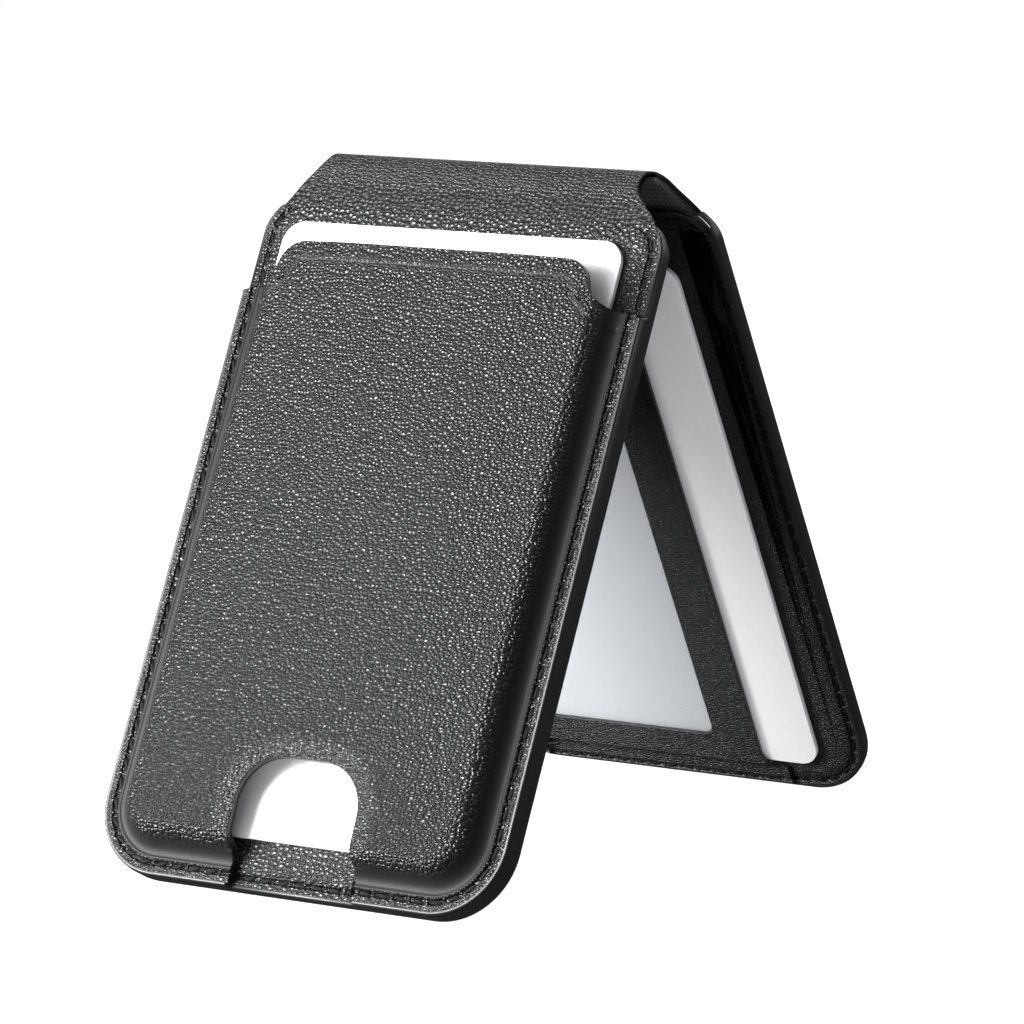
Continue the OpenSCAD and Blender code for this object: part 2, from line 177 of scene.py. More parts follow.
def spline(points, steps):
    """A smooth line through the points, with that many steps between each two."""
    points = np.array(points, float)
    ends = np.vstack((2 * points[0] - points[1], points, 2 * points[-1] - points[-2]))
    gaps = np.hypot(*np.diff(ends, axis=0).T)[:, None]
    slopes = np.diff(ends, axis=0) / gaps
    tangents = (slopes[:-1] * gaps[1:] + slopes[1:] * gaps[:-1]) / (gaps[:-1] + gaps[1:])
    line = []
    for a, b, start, end, gap in zip(points, points[1:], tangents, tangents[1:], gaps[1:]):
        for i in range(steps):
            t = i / steps
            line.append((2 * t ** 3 - 3 * t ** 2 + 1) * a + (t ** 3 - 2 * t ** 2 + t) * gap * start
                        + (3 * t ** 2 - 2 * t ** 3) * b + (t ** 3 - t ** 2) * gap * end)
    return line + [points[-1]]


def steps_between(stops, spacing):
    """Places from the first stop to the last, near the given spacings, with every stop among them."""
    places = [stops[0]]
    for a, b, space in zip(stops, stops[1:], spacing):
        count = max(1, round(abs(b - a) / space))
        places += [a + (b - a) * (i + 1) / count for i in range(count)]
    return places


def smooth_step(low, high, value):
    t = np.clip((value - low) / (high - low), 0, 1)
    return t * t * (3 - 2 * t)


def edge_distance(x, y, shoulder_y):
    """Distance in from a panel's outline."""
    across = np.abs(x)
    low = CORNER_R - np.hypot(across - LOW_X, y - CORNER_R)
    high = SHOULDER_R - np.hypot(across - HIGH_X, y - shoulder_y)
    straight = np.minimum(HALF_W - across, y)
    at_low = (across > LOW_X) & (y < CORNER_R)
    at_high = (across > HIGH_X) & (y > shoulder_y)
    return np.where(at_low, low, np.where(at_high, high, straight))


def seam_travel(x, y, seam, shoulder_y):
    """Way along a seam from the middle of the bottom."""
    across = np.abs(x)
    bend = np.arctan2(np.maximum(across - LOW_X, 0), np.maximum(CORNER_R - y, 1e-6))
    over = np.arctan2(np.maximum(y - shoulder_y, 0), np.maximum(across - HIGH_X, 1e-6))
    return (np.minimum(across, LOW_X) + (CORNER_R - seam) * bend
            + np.clip(y, CORNER_R, shoulder_y) - CORNER_R + (SHOULDER_R - seam) * over)


def mouth_height(x):
    """Height of the pocket's mouth: flat in the middle, an S down to the flange at both sides."""
    run = MOUTH_SIDE - MOUTH_HALF
    turn = 2 * atan((MOUTH_H - FLANGE_H) / run)
    r = run / (2 * sin(turn))
    across = np.abs(x)
    past = np.clip(across - MOUTH_HALF, 0, r)
    short = np.clip(MOUTH_SIDE - across, 0, r)
    upper = MOUTH_H - r + np.sqrt(r * r - past ** 2)
    lower = FLANGE_H + r - np.sqrt(r * r - short ** 2)
    end = np.clip(across - (HALF_W - 1.5), 0, 1.2)
    return np.where(across < MOUTH_HALF + r * sin(turn), upper, lower) - 1.2 + np.sqrt(1.44 - end ** 2)


def distance_to_line(x, y, line):
    """Distance from each place to the nearest point of a fine line."""
    near = np.full(x.shape, 1e9)
    for px, py in line:
        near = np.minimum(near, np.hypot(x - px, y - py))
    return near


def thumb_distance(x, y):
    """Distance out from the thumb cut-out's edge."""
    middle = (THUMB_LEFT + THUMB_RIGHT) / 2
    half = (THUMB_RIGHT - THUMB_LEFT) / 2
    out_x = np.abs(x - middle) - (half - THUMB_R)
    out_y = y - (THUMB_H - THUMB_R)
    outside = np.hypot(np.maximum(out_x, 0), np.maximum(out_y, 0))
    return outside + np.minimum(np.maximum(out_x, out_y), 0) - THUMB_R


# ---- Mesh tools ----

def verts_of(parts):
    """The vertices of edges or faces, each once and always in the same order."""
    return list(dict.fromkeys(v for part in parts for v in part.verts))


def draw_line(bm, points, closed=False):
    verts = [bm.verts.new(p) for p in points]
    pairs = list(zip(verts, verts[1:])) + ([(verts[-1], verts[0])] if closed else [])
    return [bm.edges.new(pair) for pair in pairs]


def pull(bm, edges, way):
    """Extrudes a line of edges along a way and gives the new line."""
    made = bmesh.ops.extrude_edge_only(bm, edges=edges)["geom"]
    verts = [g for g in made if isinstance(g, bmesh.types.BMVert)]
    bmesh.ops.translate(bm, verts=verts, vec=way)
    fresh = set(verts)
    return [g for g in made if isinstance(g, bmesh.types.BMEdge) and set(g.verts) <= fresh]


def pull_along(bm, edges, places, axis):
    for a, b in zip(places, places[1:]):
        edges = pull(bm, edges, axis * (b - a))
    return edges


def turn(bm, edges, centre, angle, steps):
    """Spins a line of edges about an upright axis and gives the last line."""
    made = bmesh.ops.spin(bm, geom=verts_of(edges) + edges, cent=(*centre, 0), axis=(0, 0, 1),
                          angle=angle, steps=steps, use_merge=False, use_duplicate=False)
    return [g for g in made["geom_last"] if isinstance(g, bmesh.types.BMEdge)]


def weld(bm, reach=0.002):
    bmesh.ops.remove_doubles(bm, verts=bm.verts, dist=reach)


def face_up(bm):
    """Turns an open sheet's faces to +Z."""
    bmesh.ops.recalc_face_normals(bm, faces=bm.faces)
    if sum(f.normal.z * f.calc_area() for f in bm.faces) < 0:
        bmesh.ops.reverse_faces(bm, faces=bm.faces)


def lattice(columns, rows, z):
    """A flat sheet of rows and columns."""
    bm = bmesh.new()
    line = draw_line(bm, [(x, rows[0], z) for x in columns])
    pull_along(bm, line, rows, Vector((0, 1, 0)))
    return bm


def zone(bm, test):
    return [f for f in bm.faces if test(f.calc_center_median())]


def cut(bm, faces, point, normal):
    edges = list(dict.fromkeys(e for f in faces for e in f.edges))
    bmesh.ops.bisect_plane(bm, geom=verts_of(faces) + edges + faces, dist=1e-4,
                           plane_co=(*point, 0), plane_no=(*normal, 0))


def cut_arc(bm, centre, r, start, stop, steps, drop_inside):
    """Cuts a quarter of a circle into a flat sheet's corner and drops one side of it."""
    reach = Vector((cos((start + stop) / 2), sin((start + stop) / 2)))
    side = Vector((1 if reach.x > 0 else -1, 1 if reach.y > 0 else -1))

    def in_square(p):
        return 0 < (p.x - centre[0]) * side.x < r and 0 < (p.y - centre[1]) * side.y < r

    share = (stop - start) / steps
    for i in range(1, steps):
        a = start + share * i
        cut(bm, zone(bm, in_square), centre, (-sin(a), cos(a)))
    half = share / 2
    for i in range(steps):
        middle = start + share * (i + 0.5)
        out = Vector((cos(middle), sin(middle)))

        def in_sector(p):
            from_centre = Vector((p.x - centre[0], p.y - centre[1]))
            return in_square(p) and out.angle(from_centre, 9) < abs(half) + 1e-4

        on_chord = (centre[0] + out.x * r * cos(half), centre[1] + out.y * r * cos(half))
        cut(bm, zone(bm, in_sector), on_chord, out)

        def dropped(p):
            depth = (p.x - centre[0]) * out.x + (p.y - centre[1]) * out.y
            return in_sector(p) and (depth < r * cos(half)) == drop_inside

        bmesh.ops.delete(bm, geom=zone(bm, dropped), context="FACES")


def sweep_panel(section, rows, columns, shoulder_y, bend=0.0, over_top=False, closed=False):
    """Sweeps a section, [distance in, height], round a panel: down the left side, along the
    bottom and up the right side, from and to a bend over the shoulders or on across the top."""
    bm = bmesh.new()
    up = Vector((0, 1, 0))
    right = Vector((1, 0, 0))
    line = draw_line(bm, [(d - HALF_W, rows[-1], z) for d, z in section], closed)
    if bend:
        spot = Matrix.Translation((-HIGH_X, shoulder_y, 0))
        back = spot @ Matrix.Rotation(-bend, 4, "Z") @ spot.inverted()
        bmesh.ops.transform(bm, matrix=back, verts=bm.verts)
        line = turn(bm, line, (-HIGH_X, shoulder_y), bend, 10)
    line = pull_along(bm, line, rows[::-1], up)
    line = turn(bm, line, (-LOW_X, CORNER_R), pi / 2, 24)
    line = pull_along(bm, line, columns, right)
    line = turn(bm, line, (LOW_X, CORNER_R), pi / 2, 24)
    line = pull_along(bm, line, rows, up)
    if bend:
        turn(bm, line, (HIGH_X, shoulder_y), bend, 10)
    if over_top:
        line = turn(bm, line, (HIGH_X, shoulder_y), pi / 2, 14)
        line = pull(bm, line, right * -2 * HIGH_X)
        turn(bm, line, (-HIGH_X, shoulder_y), pi / 2, 14)
    weld(bm)
    return bm


def coordinates(mesh):
    flat = np.empty(len(mesh.vertices) * 3)
    mesh.vertices.foreach_get("co", flat)
    return flat.reshape(-1, 3)


def store(mesh, name, values):
    mesh.attributes.new(name, "FLOAT", "POINT").data.foreach_set("value", values.astype(np.float32))


def piece(name, bm, place, materials, shape=None):
    """Makes an object of a flat mesh. shape(x, y, z) gives the new x, y and z and any attributes."""
    mesh = bpy.data.meshes.new(name)
    bm.to_mesh(mesh)
    bm.free()
    flat = coordinates(mesh)
    lay = flat * (1, 1, 0)
    if shape:
        moved, marks = shape(*flat.T)
        flat = np.stack(moved, 1)
        lay[:, 1] = marks.pop("up", lay[:, 1])
        mesh.vertices.foreach_set("co", flat.ravel())
        for mark, values in marks.items():
            store(mesh, mark, values)
    flat_places = mesh.attributes.new("lay", "FLOAT_VECTOR", "POINT")
    flat_places.data.foreach_set("vector", (lay * MM).astype(np.float32).ravel())
    mesh.transform(place)
    mesh.update()
    obj = bpy.data.objects.new(name, mesh)
    bpy.context.scene.collection.objects.link(obj)
    for material in materials:
        mesh.materials.append(material)
    return obj


def finish(obj, thick=0.0, round_edge=0.0, rim=0, offset=-1.0):
    """Gives a sheet its thickness and soft edges, and makes them part of the mesh."""
    if thick:
        solid = obj.modifiers.new("thickness", "SOLIDIFY")
        solid.thickness = thick * MM
        solid.offset = offset
        solid.use_quality_normals = True
        solid.material_offset_rim = rim
    if round_edge:
        soft = obj.modifiers.new("soft_edges", "BEVEL")
        soft.width = round_edge * MM
        soft.segments = 3
        soft.limit_method = "ANGLE"
        soft.angle_limit = radians(50)
        soft.use_clamp_overlap = False
        soft.harden_normals = False
    depsgraph = bpy.context.evaluated_depsgraph_get()
    mesh = bpy.data.meshes.new_from_object(obj.evaluated_get(depsgraph), preserve_all_data_layers=True,
                                           depsgraph=depsgraph)
    obj.modifiers.clear()
    obj.data = mesh
    mesh.polygons.foreach_set("use_smooth", [True] * len(mesh.polygons))
    mesh.set_sharp_from_angle(angle=radians(42))
    return obj


def place_on(obj, body, slot, *nodes):
    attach(obj, body)
    if nodes:
        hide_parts(*nodes)


# ---- Materials ----
# A Map Range node's inputs are 0 the value, 1 and 2 the range it comes from, 3 and 4 the range it goes to.
# A Mix node's are 0 the factor, 2 and 3 two numbers, 6 and 7 two colours.

def colour(code):
    """An sRGB hex colour as linear RGBA."""
    parts = [int(code[i:i + 2], 16) / 255 for i in (1, 3, 5)]
    return [c / 12.92 if c <= 0.04045 else ((c + 0.055) / 1.055) ** 2.4 for c in parts] + [1]


def add(tree, kind, settings=None, inputs=None):
    """Adds a node with its settings, and its inputs' values or links."""
    made = tree.nodes.new("ShaderNode" + kind)
    for name, value in (settings or {}).items():
        setattr(made, name, value)
    for key, value in (inputs or {}).items():
        if isinstance(value, bpy.types.NodeSocket):
            tree.links.new(value, made.inputs[key])
        else:
            made.inputs[key].default_value = value
    return made


def new_material(name):
    material = bpy.data.materials.new(name)
    material.use_nodes = True
    material.node_tree.nodes.clear()
    return material, material.node_tree


def object_material(name):
    """A new material, its tree and the place on the object."""
    material, tree = new_material(name)
    return material, tree, add(tree, "TexCoord").outputs["Object"]


def surface(material, inputs):
    """Ends a material with its surface."""
    shader = add(material.node_tree, "BsdfPrincipled", None, inputs)
    add(material.node_tree, "OutputMaterial", None, {"Surface": shader.outputs[0]})
    return material


def mark(tree, name):
    return add(tree, "Attribute", {"attribute_name": name}).outputs["Fac"]


def grain_leather(name, tint, crease_shade_tint, cell, coarse_cell, depth, gloss):
    """Split leather under a polyurethane skin, embossed by a hot plate with a pebble grain:
    domed cells with pinched creases between them. The skin is semi-gloss, so each pebble has
    its own glint. Moulding presses the grain out, and folding stretches it coarser."""
    material, tree = new_material(name)
    place = add(tree, "Attribute", {"attribute_name": "lay"}).outputs["Vector"]
    drift = add(tree, "TexNoise", {"noise_dimensions": "2D"},
                {"Vector": place, "Scale": 1 / (1.1 * MM), "Detail": 1.0})
    offset = add(tree, "VectorMath", {"operation": "MULTIPLY_ADD"},
                 {0: drift.outputs["Color"], 1: (0.3 * MM,) * 3, 2: place}).outputs[0]
    offset = add(tree, "Mapping", None, {"Vector": offset, "Scale": (1, 1.35, 1)}).outputs[0]

    def pebbles(size):
        domes = add(tree, "TexVoronoi", {"feature": "SMOOTH_F1", "voronoi_dimensions": "2D"},
                    {"Vector": offset, "Scale": 1 / (size * MM), "Smoothness": 0.3, "Randomness": 0.85})
        lines = add(tree, "TexVoronoi", {"feature": "DISTANCE_TO_EDGE", "voronoi_dimensions": "2D"},
                    {"Vector": offset, "Scale": 1 / (size * MM), "Randomness": 0.85})
        crease = add(tree, "MapRange", {"interpolation_type": "SMOOTHSTEP"},
                     {0: lines.outputs["Distance"], 1: 0.0, 2: 0.26, 3: 0.0, 4: 0.5})
        dome = add(tree, "MapRange", None,
                   {0: domes.outputs["Distance"], 1: 0.0, 2: 0.7, 3: 0.5, 4: 0.0})
        return add(tree, "Math", {"operation": "ADD"},
                   {0: crease.outputs[0], 1: dome.outputs[0]}).outputs[0]

    grain = add(tree, "Mix", {"data_type": "FLOAT"},
                {0: mark(tree, "coarse"), 2: pebbles(cell), 3: pebbles(coarse_cell)}).outputs[0]
    smooth = mark(tree, "pressed")
    relief = add(tree, "Mix", {"data_type": "FLOAT"}, {0: smooth, 2: grain, 3: 0.72}).outputs[0]
    pores = add(tree, "TexNoise", None, {"Vector": place, "Scale": 1 / (0.14 * MM)})
    relief = add(tree, "Math", {"operation": "MULTIPLY_ADD"},
                 {0: pores.outputs["Fac"], 1: 0.08, 2: relief}).outputs[0]
    bump = add(tree, "Bump", None, {"Distance": depth * MM, "Height": relief})
    way = add(tree, "Math", {"operation": "MULTIPLY_ADD"},
              {0: mark(tree, "inset"), 1: HOLE_LEAN, 2: mark(tree, "travel")}).outputs[0]
    beat = add(tree, "Math", {"operation": "PINGPONG"}, {0: way, 1: PITCH / 2}).outputs[0]
    stitch_end = PITCH / 2 - STITCH_L / 2
    along = add(tree, "MapRange", {"interpolation_type": "SMOOTHSTEP"},
                {0: beat, 1: stitch_end - 0.3, 2: stitch_end + 0.1, 3: 0.0, 4: 1.0}).outputs[0]
    off_seam = add(tree, "Math", {"operation": "ABSOLUTE"}, {0: mark(tree, "inset")}).outputs[0]
    across = add(tree, "MapRange", {"interpolation_type": "SMOOTHSTEP"},
                 {0: off_seam, 1: 0.22, 2: 0.5, 3: 1.0, 4: 0.0}).outputs[0]
    hole = add(tree, "Math", {"operation": "MULTIPLY"}, {0: along, 1: across}).outputs[0]
    dip = add(tree, "Bump", {"invert": True},
              {"Distance": 0.25 * MM, "Height": hole, "Normal": bump.outputs["Normal"]})
    # Painted shade: under each stitch, where the thread sinks into its holes, the leather's colour is mixed almost
    # to black. The dip beside it is a real bump.
    hole_shade_factor = add(tree, "MapRange", None, {0: hole, 3: 1.0, 4: 0.12}).outputs[0]
    # Painted shade: the colour runs from near-black at the bottom of the creases to the leather's tint on the
    # pebble tops, standing in for the shade that falls between the pebbles.
    body = add(tree, "Mix", {"data_type": "RGBA"}, {0: relief, 6: colour(crease_shade_tint), 7: colour(tint)})
    tone = add(tree, "Mix", {"data_type": "RGBA"},
               {0: hole_shade_factor, 6: (0.001, 0.001, 0.001, 1), 7: body.outputs[2]})
    cloud = add(tree, "TexNoise", None, {"Vector": place, "Scale": 1 / (30 * MM)})
    dull = add(tree, "MapRange", None,
               {0: relief, 1: 0.2, 2: 0.9, 3: gloss + 0.2, 4: gloss}).outputs[0]
    dull = add(tree, "Math", {"operation": "MULTIPLY_ADD"},
               {0: cloud.outputs["Fac"], 1: 0.05, 2: dull}).outputs[0]
    dull = add(tree, "Math", {"operation": "MULTIPLY_ADD"}, {0: smooth, 1: 0.2, 2: dull}).outputs[0]
    shine = add(tree, "MapRange", None, {0: smooth, 3: 0.6, 4: 0.16}).outputs[0]
    return surface(material, {
        "Base Color": tone.outputs[2], "Roughness": dull, "Normal": dip.outputs["Normal"],
        "IOR": 1.5, "Specular IOR Level": shine})


def edge_paint(name, tint, gloss):
    """Edge paint, laid on the cut layers in a thick coat and sanded: smooth, satin, faintly wavy."""
    material, tree, place = object_material(name)
    wave = add(tree, "TexNoise", None, {"Vector": place, "Scale": 1 / (1.8 * MM), "Detail": 3.0})
    fine = add(tree, "TexNoise", None, {"Vector": place, "Scale": 1 / (0.25 * MM)})
    height = add(tree, "Math", {"operation": "MULTIPLY_ADD"},
                 {0: fine.outputs["Fac"], 1: 0.2, 2: wave.outputs["Fac"]}).outputs[0]
    bump = add(tree, "Bump", None, {"Strength": 0.5, "Distance": 0.05 * MM, "Height": height})
    dull = add(tree, "MapRange", None, {0: wave.outputs["Fac"], 3: gloss, 4: gloss + 0.12}).outputs[0]
    return surface(material, {
        "Base Color": colour(tint), "Roughness": dull, "Normal": bump.outputs["Normal"], "IOR": 1.5})


def sewing_thread():
    """Bonded polyester thread: fine plies under a waxy bond, so a dull sheen along each stitch."""
    material, tree, place = object_material("bonded_polyester_thread")
    plies = add(tree, "TexNoise", None, {"Vector": place, "Scale": 1 / (0.12 * MM)})
    bump = add(tree, "Bump", None, {"Strength": 0.7, "Distance": 0.03 * MM, "Height": plies.outputs["Fac"]})
    tint = add(tree, "Mix", {"data_type": "RGBA"},
               {0: plies.outputs["Fac"], 6: colour("#020203"), 7: colour("#08080a")})
    return surface(material, {
        "Base Color": tint.outputs[2], "Roughness": 0.7, "Normal": bump.outputs["Normal"],
        "Specular IOR Level": 0.15})


def woven_backing(name, tint, pitch):
    """Thin woven polyester, glued behind the leather: dull black, a fine plain weave."""
    material, tree, place = object_material(name)
    height = None
    for axis in ("X", "Z"):
        yarn = add(tree, "TexWave", {"bands_direction": axis},
                   {"Vector": place, "Scale": 1 / (pitch * MM) / 6.28, "Distortion": 0.4, "Detail": 1.0})
        height = yarn.outputs["Fac"] if height is None else add(
            tree, "Math", {"operation": "ADD"}, {0: height, 1: yarn.outputs["Fac"]}).outputs[0]
    bump = add(tree, "Bump", None, {"Strength": 0.8, "Distance": 0.05 * MM, "Height": height})
    tone = add(tree, "Mix", {"data_type": "RGBA"}, {0: height, 6: colour("#020203"), 7: colour(tint)})
    return surface(material, {
        "Base Color": tone.outputs[2], "Roughness": 0.85, "Normal": bump.outputs["Normal"],
        "Sheen Weight": 0.1})


def card_plastic(name, shade, tint):
    """Laminated PVC card: pale core under a clear satin overlay with a faint orange peel."""
    material, tree, place = object_material(name)
    peel = add(tree, "TexNoise", None, {"Vector": place, "Scale": 1 / (0.9 * MM)})
    bump = add(tree, "Bump", None, {"Strength": 0.25, "Distance": 0.02 * MM, "Height": peel.outputs["Fac"]})
    tint = add(tree, "Mix", {"data_type": "RGBA"},
               {0: peel.outputs["Fac"], 6: colour(shade), 7: colour(tint)})
    dull = add(tree, "MapRange", None, {0: peel.outputs["Fac"], 3: 0.28, 4: 0.38}).outputs[0]
    return surface(material, {
        "Base Color": tint.outputs[2], "Roughness": dull, "Normal": bump.outputs["Normal"],
        "Subsurface Weight": 0.05, "Subsurface Radius": (0.0005, 0.0005, 0.0005), "IOR": 1.52})


def window_vinyl():
    """Clear plasticised PVC film: a faint smoky veil over the card, with a soft wavy gloss."""
    material, tree, place = object_material("clear_vinyl")
    wave = add(tree, "TexNoise", None, {"Vector": place, "Scale": 1 / (9 * MM)})
    bump = add(tree, "Bump", None, {"Strength": 0.4, "Distance": 0.2 * MM, "Height": wave.outputs["Fac"]})
    dull = add(tree, "MapRange", None, {0: wave.outputs["Fac"], 3: 0.03, 4: 0.1}).outputs[0]
    return surface(material, {
        "Base Color": colour("#8f9396"), "Roughness": dull, "Normal": bump.outputs["Normal"],
        "Alpha": 0.32, "IOR": 1.53})


def fibre_board():
    """Pressed fibreboard, dyed black: matt, flecked."""
    material, tree, place = object_material("pressed_fibreboard")
    fleck = add(tree, "TexNoise", None, {"Vector": place, "Scale": 1 / (0.6 * MM), "Detail": 5.0})
    bump = add(tree, "Bump", None, {"Strength": 0.5, "Distance": 0.04 * MM, "Height": fleck.outputs["Fac"]})
    tone = add(tree, "Mix", {"data_type": "RGBA"},
               {0: fleck.outputs["Fac"], 6: colour("#0a0a0a"), 7: colour("#1f1e1d")})
    return surface(material, {
        "Base Color": tone.outputs[2], "Roughness": 0.9, "Normal": bump.outputs["Normal"]})


def thin_metal(name, tint, gloss, brushed):
    """Nickel plate, rolled steel or foil: grey metal, with the drawn lines of its sheet."""
    material, tree, place = object_material(name)
    stretched = add(tree, "Mapping", None, {"Vector": place, "Scale": (brushed, 1, 1)}).outputs[0]
    lines = add(tree, "TexNoise", None, {"Vector": stretched, "Scale": 1 / (0.2 * MM), "Detail": 4.0})
    bump = add(tree, "Bump", None, {"Strength": 0.3, "Distance": 0.01 * MM, "Height": lines.outputs["Fac"]})
    dull = add(tree, "MapRange", None, {0: lines.outputs["Fac"], 3: gloss, 4: gloss + 0.15}).outputs[0]
    return surface(material, {
        "Base Color": colour(tint), "Metallic": 1.0, "Roughness": dull, "Normal": bump.outputs["Normal"]})


# The second colour of each is the painted shade in the grain's creases.
PEBBLED = grain_leather("pebbled_pu_leather", "#1a1a1b", "#020202", 0.6, 0.8, 0.28, 0.25)
LINING = grain_leather("fine_grain_pu_lining", "#0e0e0f", "#020202", 0.5, 0.5, 0.12, 0.36)
EDGE = edge_paint("satin_edge_paint", "#121213", 0.36)
THREAD = sewing_thread()
BACKING = woven_backing("woven_polyester_backing", "#0b0b0c", 0.3)
WHITE_CARD = card_plastic("white_laminated_pvc", "#d8d8da", "#dededf")
# Painted shade: the ID card under the window frame gets a greyer copy of the white card plastic, standing in for
# the shade it sits in beneath the frame.
SHADE_GREYED_CARD = card_plastic("shade_greyed_laminated_pvc", "#c3c3c6", "#cacacc")
VINYL = window_vinyl()
BOARD = fibre_board()
NICKEL = thin_metal("nickel_plate", "#c9c8c4", 0.2, 1.0)
STEEL = thin_metal("rolled_steel", "#8f9195", 0.35, 0.1)
FOIL = thin_metal("aluminium_foil", "#d5d6d8", 0.25, 0.3)


# ---- Sheets ----

def panel_marks(x, y, seam, shoulder_y, **more):
    """Where a place is on the seam, for the needle holes."""
    inset = edge_distance(x, y, shoulder_y) - seam
    return {"inset": inset, "travel": seam_travel(x, y, seam, shoulder_y), **more}


def seam_section(top, seam):
    """Section of a sheet's rim: flat, a sewn channel, flat again."""
    channel = spline([(seam - 0.5, top), (seam - 0.2, top - 0.2), (seam, top - 0.26),
                      (seam + 0.2, top - 0.2), (seam + 0.5, top)], 2)
    return [(0.3, top), (seam - 0.62, top)] + [tuple(p) for p in channel] + [(RIM_W, top)]


def fill_sheet(bm, shoulder_y):
    """Closes the middle of a swept rim with one flat face."""
    edges = [e for e in bm.edges if e.is_boundary and all(
        abs(float(edge_distance(v.co.x, v.co.y, shoulder_y)) - RIM_W) < 0.01 for v in e.verts)]
    ends = [v for e in edges for v in e.verts if sum(v in other.verts for other in edges) == 1]
    if ends:
        edges.append(bm.edges.new(ends))
    bmesh.ops.edgeloop_fill(bm, edges=edges)


def flat_sheet(name, place, top, thick, seam, shoulder_y, material, over_top, coarse=None):
    """A flat leather layer with its sewn channel: a whole lining, or a cover up to the spine."""
    rows = steps_between([CORNER_R, shoulder_y if over_top else SPINE_FROM], [12])
    bm = sweep_panel(seam_section(top, seam), rows, steps_between([-LOW_X, LOW_X], [6]),
                     shoulder_y, over_top=over_top)
    fill_sheet(bm, shoulder_y)
    face_up(bm)

    def shape(x, y, z):
        more = {"coarse": coarse(x, y)} if coarse else {}
        return (x, y, z), panel_marks(x, y, seam, shoulder_y, **more)

    obj = piece(name, bm, place, [material, EDGE], shape)
    return finish(obj, thick, round_edge=0.12 if over_top else 0.0, rim=1)


def painted_edge(name, place, top, shoulder_y, low_top=None):
    """Thick edge paint round a panel's cut layers. It steps down where the flange stops."""
    lip = 0.42
    dome = [(lip, -0.02), (0.18, -0.06), (-0.02, 0.06), (-0.12, 0.4), (-0.15, top / 2),
            (-0.12, top - 0.4), (-0.02, top - 0.04), (0.18, top + 0.07), (lip, top + 0.03)]
    section = [tuple(p) for p in spline(dome, 3)] + [(lip + 0.1, top - 0.3), (lip + 0.1, 0.3)]
    rows = [CORNER_R, shoulder_y]
    columns = [-LOW_X, LOW_X]
    if low_top is not None:
        step = [-0.45, -0.2, 0.0, 0.15]
        rows = [CORNER_R, 40] + [FLANGE_H + s - 0.15 for s in step] + [shoulder_y]
        columns = [-LOW_X] + [THUMB_LEFT + s for s in step]
        columns += [THUMB_RIGHT - s for s in step[::-1]] + [LOW_X]
    bend = asin(SHOULDER_DROP / SHOULDER_R)
    bm = sweep_panel(section, rows, columns, shoulder_y, bend, closed=True)
    bmesh.ops.holes_fill(bm, edges=[e for e in bm.edges if e.is_boundary], sides=0)
    bmesh.ops.recalc_face_normals(bm, faces=bm.faces)

    def shape(x, y, z):
        if low_top is not None:
            bare = smooth_step(FLANGE_H - 0.6, FLANGE_H - 0.05, y)
            in_thumb = smooth_step(THUMB_LEFT - 0.45, THUMB_LEFT + 0.1, x) * smooth_step(
                -THUMB_RIGHT - 0.45, -THUMB_RIGHT + 0.1, -x)
            bare = np.maximum(bare, np.where(y < CORNER_R, in_thumb, 0))
            z = z - (top - low_top) * bare * np.clip((z - 0.3) / (top - 0.6), 0, 1)
        face = low_top or top
        over_x, over_y = np.sign(x) * (np.abs(x) - HIGH_X), y - shoulder_y
        along = np.arctan2(over_y, np.abs(over_x))
        taper = np.where(over_y > 0, smooth_step(radians(8), radians(44), along), 0)
        draw_in = 1 - taper * 0.15 / SHOULDER_R
        x = np.where(over_y > 0, np.sign(x) * HIGH_X + over_x * draw_in, x)
        y = np.where(over_y > 0, shoulder_y + over_y * draw_in, y)
        return (x, y, z + taper * ((face - z) * (1 - SPINE_T / face) - 0.05)), {}

    return finish(piece(name, bm, place, [EDGE], shape))


# ---- Front panel ----

def base_coarse(x, y):
    """The grain is stretched at the foot of the thumb cut-out and towards the fold."""
    return np.maximum(smooth_step(16, 7, y), smooth_step(84, 92, y))


front_shoulder = FRONT_H - SHOULDER_DROP
rear_shoulder = REAR_H - SHOULDER_DROP
front_lining_shoulder = FRONT_H + LINING_OVER - SHOULDER_R
rear_lining_shoulder = REAR_H + LINING_OVER - SHOULDER_R

sheet = flat_sheet("front_cover", FRONT_OUT, FRONT_T, LEATHER_T, FRONT_SEAM, front_shoulder,
                   PEBBLED, False, base_coarse)
place_on(sheet, "front_panel", "pebbled_leather", "front_leather")

sheet = flat_sheet("front_lining_sheet", FRONT_IN, 0, LINING_T, FRONT_SEAM,
                   front_lining_shoulder, LINING, True)
place_on(sheet, "front_panel", "lining_leather", "front_lining")

sheet = painted_edge("front_edge_paint", FRONT_OUT, FLANGE_TOP, front_shoulder, FRONT_T)
place_on(sheet, "front_panel", "pebbled_leather")

# Section of the moulded pocket, [distance in from the edge, height]: flange, sewn channel,
# ridge, hollow cove, steep wall, round crest, face
POCKET_SECTION = [
    (0.3, FLANGE_TOP), (0.75, FLANGE_TOP + 0.02), (1.1, FLANGE_TOP), (FRONT_SEAM, FLANGE_TOP - GROOVE_D),
    (2.1, FLANGE_TOP), (2.35, FLANGE_TOP + 0.08), (2.65, FLANGE_TOP - 0.02),
    (3.4, FLANGE_TOP + 0.12), (4.2, FLANGE_TOP + 0.72), (4.85, FLANGE_TOP + 1.85),
    (5.45, FACE_TOP - 0.72), (6.2, FACE_TOP - 0.18), (7.2, FACE_TOP), (8.6, FACE_TOP), (CORNER_R, FACE_TOP)]

POCKET_ROWS = steps_between(
    [CORNER_R, THUMB_H - THUMB_R, THUMB_H, THUMB_H + 4, TOP_FROM, FLANGE_H], [0.4, 0.4, 0.4, 1.3, 0.13])
POCKET_COLUMNS = steps_between(
    [-LOW_X, THUMB_LEFT - 3, THUMB_LEFT, THUMB_LEFT + THUMB_R, THUMB_RIGHT - THUMB_R, THUMB_RIGHT,
     THUMB_RIGHT + 3, LOW_X], [0.9, 0.4, 0.4, 0.5, 0.4, 0.4, 0.9])


